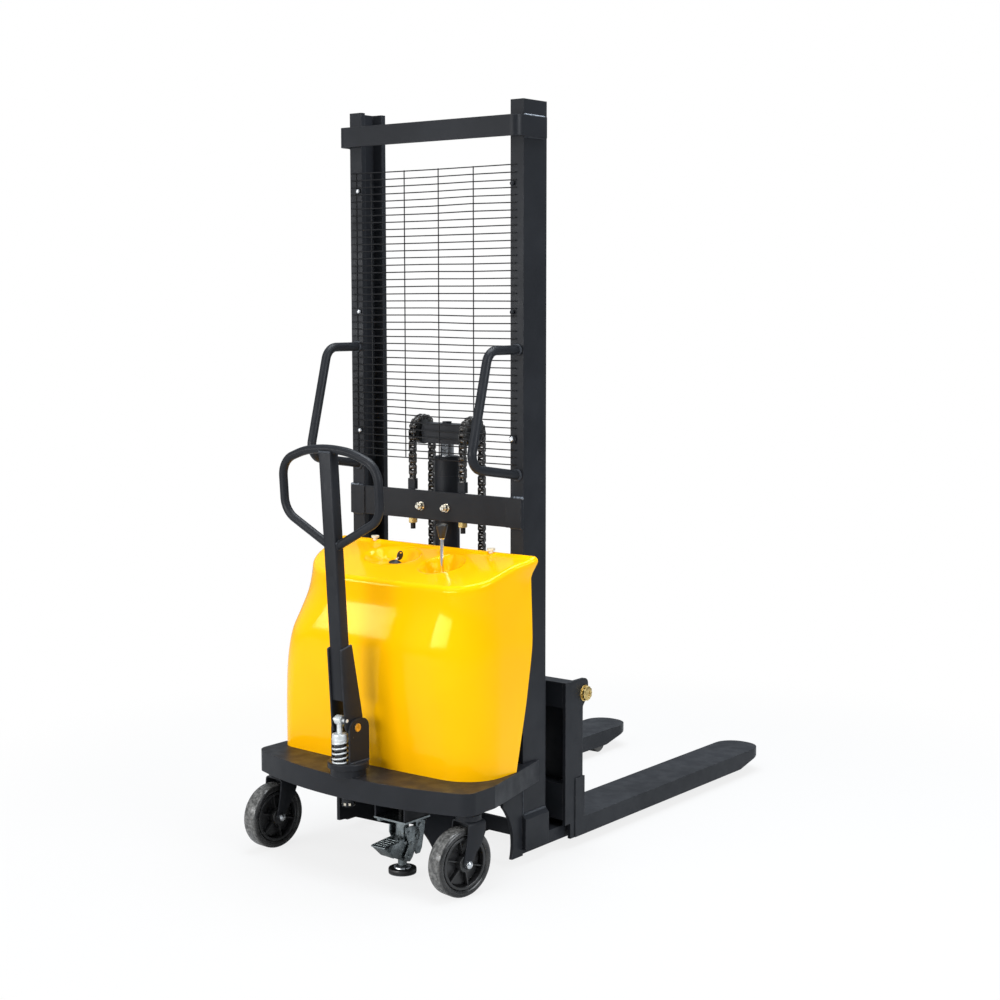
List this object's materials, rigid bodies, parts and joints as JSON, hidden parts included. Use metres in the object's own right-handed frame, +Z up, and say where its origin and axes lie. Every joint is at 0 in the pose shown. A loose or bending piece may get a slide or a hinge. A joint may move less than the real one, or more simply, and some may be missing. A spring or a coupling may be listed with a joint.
{
  "type": "electric stacker",
  "caption": "Pedestrian pallet stacker with a chain-lifted fork carriage on a channel mast, a moulded rear cover, a sprung tiller, swivel casters and a floor lock.",
  "frame": {"origin": "on the floor, midway between the fork tips and the tiller's rear, in the middle plane", "axes": "+X to the operator's right when facing the forks, +Y forward along the forks, +Z up"},
  "size_m": [0.766, 1.7076, 2.047],
  "materials": {
    "black_paint": "satin powder coat",
    "yellow_cover": "gloss moulding",
    "wire": "satin",
    "zinc": "bright zinc plate",
    "yellow_zinc": "yellow zinc plate",
    "chrome": "polished",
    "chain": "oiled steel",
    "dark_steel": "dark machined",
    "hub_plastic": "moulded",
    "tyre": "smoky urethane",
    "roller": "nylon",
    "cream_plastic": "moulded",
    "black_plastic": "moulded",
    "battery_case": "moulded",
    "pump": "cast and painted"
  },
  "bodies": {
    "frame": {"top_strap": "black_paint", "cylinder_crossbar": "black_paint", "mesh_guard": "wire", "mesh_bolts": "zinc", "base_beam": "black_paint", "tray": "black_paint", "load_axles": "zinc", "lift_cylinder": "black_paint", "cylinder_gland": "black_paint", "u_bolt": "yellow_zinc", "chain_anchors": "dark_steel", "chain_rear_runs": "chain", "caster_heads": "zinc", "lock_plate": "zinc", "cover": "yellow_cover", "cover_screws": "cream_plastic", "battery": "battery_case", "pump_unit": "pump", "lever_mount": "black_paint", "key_switch": "black_plastic", "mast_post_right": "black_paint", "mast_post_left": "black_paint", "grab_handle_right": "black_paint", "grab_handle_left": "black_paint", "leg_right": "black_paint", "leg_left": "black_paint"},
    "lift_head": {"lift_rod": "chrome", "crosshead": "black_paint", "chain_wraps": "chain"},
    "carriage": {"carriage_bars": "black_paint", "carriage_side_right": "black_paint", "carriage_side_left": "black_paint", "roller_plates": "black_paint", "fork_right": "black_paint", "fork_left": "black_paint", "fork_shaft": "yellow_zinc", "chain_front_runs": "chain"},
    "steering_head": {"turntable": "black_paint", "tiller_pin": "yellow_zinc", "tiller_spring": "chrome"},
    "tiller": {"tiller_handle": "black_paint"},
    "piston": {"spring_piston": "zinc"},
    "floor_plunger": {"lock_plunger": "zinc"},
    "floor_pedal": {"lock_pedal": "zinc"},
    "lever": {"control_lever": "chrome"},
    "key": {"start_key": "black_plastic"},
    "caster_swivel_right": {"caster_yoke_right": "black_paint"},
    "caster_wheel_right": {"caster_hub_right": "hub_plastic", "caster_tyre_right": "tyre"},
    "load_roller_right": {"load_roller_right": "roller"},
    "chain_wheel_right": {"chain_wheel_right": "dark_steel"},
    "guide_roller_low_right": {"guide_roller_low_right": "dark_steel"},
    "guide_roller_high_right": {"guide_roller_high_right": "dark_steel"},
    "caster_swivel_left": {"caster_yoke_left": "black_paint"},
    "caster_wheel_left": {"caster_hub_left": "hub_plastic", "caster_tyre_left": "tyre"},
    "load_roller_left": {"load_roller_left": "roller"},
    "chain_wheel_left": {"chain_wheel_left": "dark_steel"},
    "guide_roller_low_left": {"guide_roller_low_left": "dark_steel"},
    "guide_roller_high_left": {"guide_roller_high_left": "dark_steel"}
  },
  "joints": [
    {"name": "carriage_lift", "type": "slide", "parent": "frame", "child": "carriage", "axis": [0, 0, 1], "range_m": [0, 1.6], "deforming": ["chain_front_runs"]},
    {"name": "rod_lift", "type": "slide", "parent": "frame", "child": "lift_head", "axis": [0, 0, 1], "range_m": [0, 0.8], "deforming": ["chain_rear_runs"]},
    {"name": "tiller_steer", "type": "hinge", "parent": "frame", "child": "steering_head", "pos_m": [0, -0.77421, 0.3], "axis": [0, 0, 1], "range_deg": [-80, 80]},
    {"name": "tiller_tilt", "type": "hinge", "parent": "steering_head", "child": "tiller", "pos_m": [0, -0.77421, 0.4075], "axis": [1, 0, 0], "range_deg": [0, 60], "stiffness_Nm_per_rad": 22, "springref_deg": -28.65},
    {"name": "spring_press", "type": "slide", "parent": "steering_head", "child": "piston", "axis": [0, 0, -1], "range_m": [0, 0.028], "deforming": ["tiller_spring"]},
    {"name": "floor_plunger_slide", "type": "slide", "parent": "frame", "child": "floor_plunger", "axis": [0, 0, -1], "range_m": [0, 0.012]},
    {"name": "floor_pedal_hinge", "type": "hinge", "parent": "frame", "child": "floor_pedal", "pos_m": [0.119, -0.65821, 0.14], "axis": [1, 0, 0], "range_deg": [0, 12]},
    {"name": "lever_tilt", "type": "hinge", "parent": "frame", "child": "lever", "pos_m": [0.112, -0.51821, 0.76], "axis": [1, 0, 0], "range_deg": [-12, 12], "stiffness_Nm_per_rad": 3},
    {"name": "key_turn", "type": "hinge", "parent": "frame", "child": "key", "pos_m": [-0.068, -0.50621, 0.81], "axis": [0, 0, 1], "range_deg": [-90, 0]},
    {"name": "caster_swivel_right", "type": "hinge", "parent": "frame", "child": "caster_swivel_right", "pos_m": [0.34, -0.68821, 0.197], "axis": [0, 0, 1], "continuous": true},
    {"name": "caster_roll_right", "type": "hinge", "parent": "caster_swivel_right", "child": "caster_wheel_right", "pos_m": [0.33479, -0.71776, 0.09], "axis": [0.9848, -0.1736, 0], "continuous": true},
    {"name": "load_roll_right", "type": "hinge", "parent": "frame", "child": "load_roller_right", "pos_m": [0.25625, 0.69579, 0.034], "axis": [1, 0, 0], "continuous": true},
    {"name": "chain_wheel_turn_right", "type": "hinge", "parent": "lift_head", "child": "chain_wheel_right", "pos_m": [0.0905, -0.36121, 1.16], "axis": [1, 0, 0], "continuous": true},
    {"name": "guide_roll_low_right", "type": "hinge", "parent": "carriage", "child": "guide_roller_low_right", "pos_m": [0.2825, -0.36371, 0.11], "axis": [1, 0, 0], "continuous": true},
    {"name": "guide_roll_high_right", "type": "hinge", "parent": "carriage", "child": "guide_roller_high_right", "pos_m": [0.2825, -0.36371, 0.4], "axis": [1, 0, 0], "continuous": true},
    {"name": "caster_swivel_left", "type": "hinge", "parent": "frame", "child": "caster_swivel_left", "pos_m": [-0.34, -0.68821, 0.197], "axis": [0, 0, 1], "continuous": true},
    {"name": "caster_roll_left", "type": "hinge", "parent": "caster_swivel_left", "child": "caster_wheel_left", "pos_m": [-0.34209, -0.71814, 0.09], "axis": [0.9976, -0.0698, 0], "continuous": true},
    {"name": "load_roll_left", "type": "hinge", "parent": "frame", "child": "load_roller_left", "pos_m": [-0.25625, 0.69579, 0.034], "axis": [1, 0, 0], "continuous": true},
    {"name": "chain_wheel_turn_left", "type": "hinge", "parent": "lift_head", "child": "chain_wheel_left", "pos_m": [-0.0905, -0.36121, 1.16], "axis": [1, 0, 0], "continuous": true},
    {"name": "guide_roll_low_left", "type": "hinge", "parent": "carriage", "child": "guide_roller_low_left", "pos_m": [-0.2825, -0.36371, 0.11], "axis": [1, 0, 0], "continuous": true},
    {"name": "guide_roll_high_left", "type": "hinge", "parent": "carriage", "child": "guide_roller_high_left", "pos_m": [-0.2825, -0.36371, 0.4], "axis": [1, 0, 0], "continuous": true}
  ],
  "couplings": [
    {"joint": "rod_lift", "follows": "carriage_lift", "ratio": 0.5},
    {"joint": "spring_press", "follows": "tiller_tilt", "m_per_rad": 0.0266},
    {"joint": "floor_pedal_hinge", "follows": "floor_plunger_slide", "rad_per_m": 17.45},
    {"joint": "chain_wheel_turn_right", "follows": "carriage_lift", "rad_per_m": 12.048},
    {"joint": "guide_roll_low_right", "follows": "carriage_lift", "rad_per_m": 29.412},
    {"joint": "guide_roll_high_right", "follows": "carriage_lift", "rad_per_m": -29.412},
    {"joint": "chain_wheel_turn_left", "follows": "carriage_lift", "rad_per_m": 12.048},
    {"joint": "guide_roll_low_left", "follows": "carriage_lift", "rad_per_m": 29.412},
    {"joint": "guide_roll_high_left", "follows": "carriage_lift", "rad_per_m": -29.412}
  ]
}
